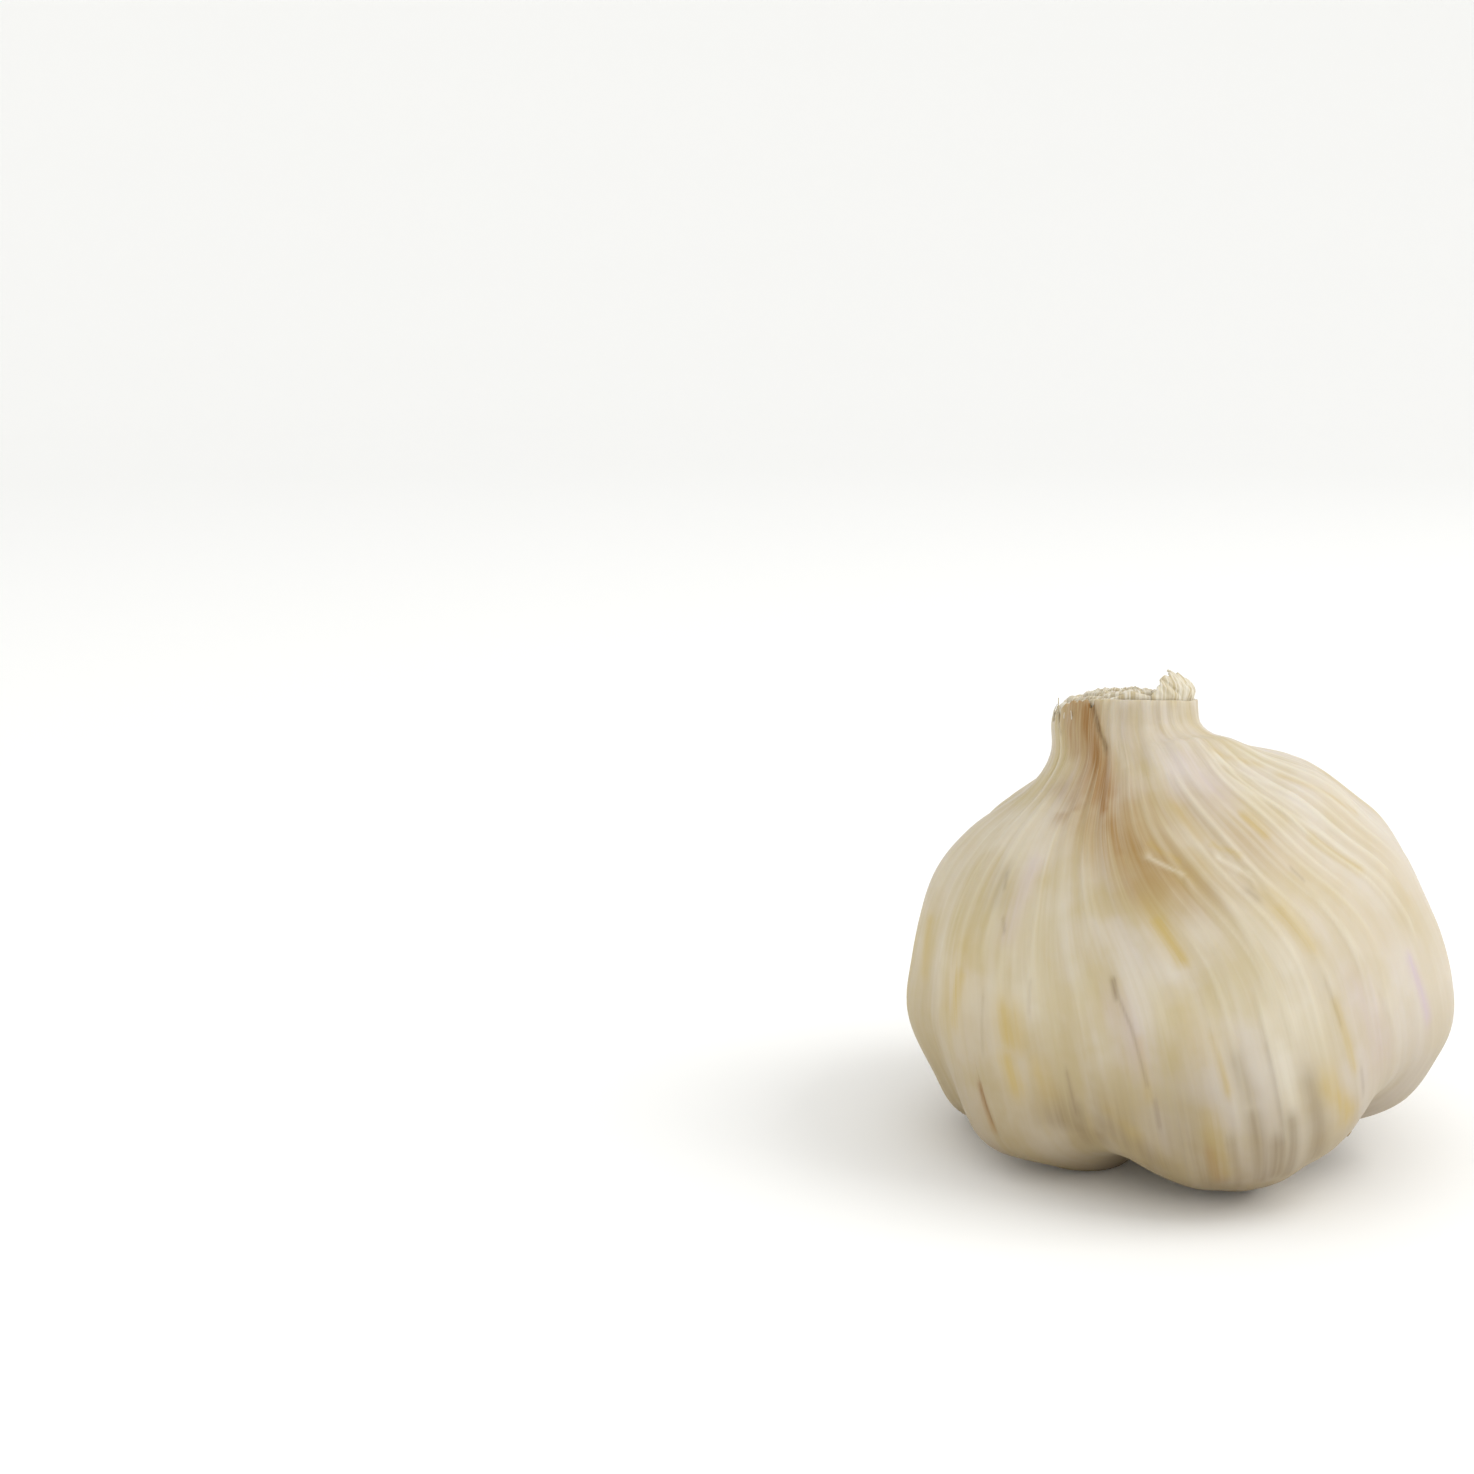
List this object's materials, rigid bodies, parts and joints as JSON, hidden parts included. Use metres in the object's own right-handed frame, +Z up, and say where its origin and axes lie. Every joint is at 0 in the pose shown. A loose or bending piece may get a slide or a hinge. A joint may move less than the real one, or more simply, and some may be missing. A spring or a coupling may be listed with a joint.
{
  "type": "garlic bulb",
  "caption": "Whole unpeeled garlic bulb in pale papery skin, leaning to one side, with a short cut neck of ragged dry leaf layers and a small root plate underneath.",
  "frame": {"origin": "centre of the bounding box in X and Y, at the surface the bulb rests on", "axes": "+Z up, away from the resting surface; -Y is the side turned to the viewer; the bulb leans towards -X"},
  "size_m": [0.0584, 0.0568, 0.0526],
  "materials": {
    "papery_skin": "dry thin skin with a faint sheen",
    "dry_leaf": "dry and fibrous",
    "dry_root": "dry and rough"
  },
  "bodies": {
    "root": {"bulb": "papery_skin", "neck_layers": "dry_leaf", "root_plate": "dry_root"}
  },
  "joints": []
}
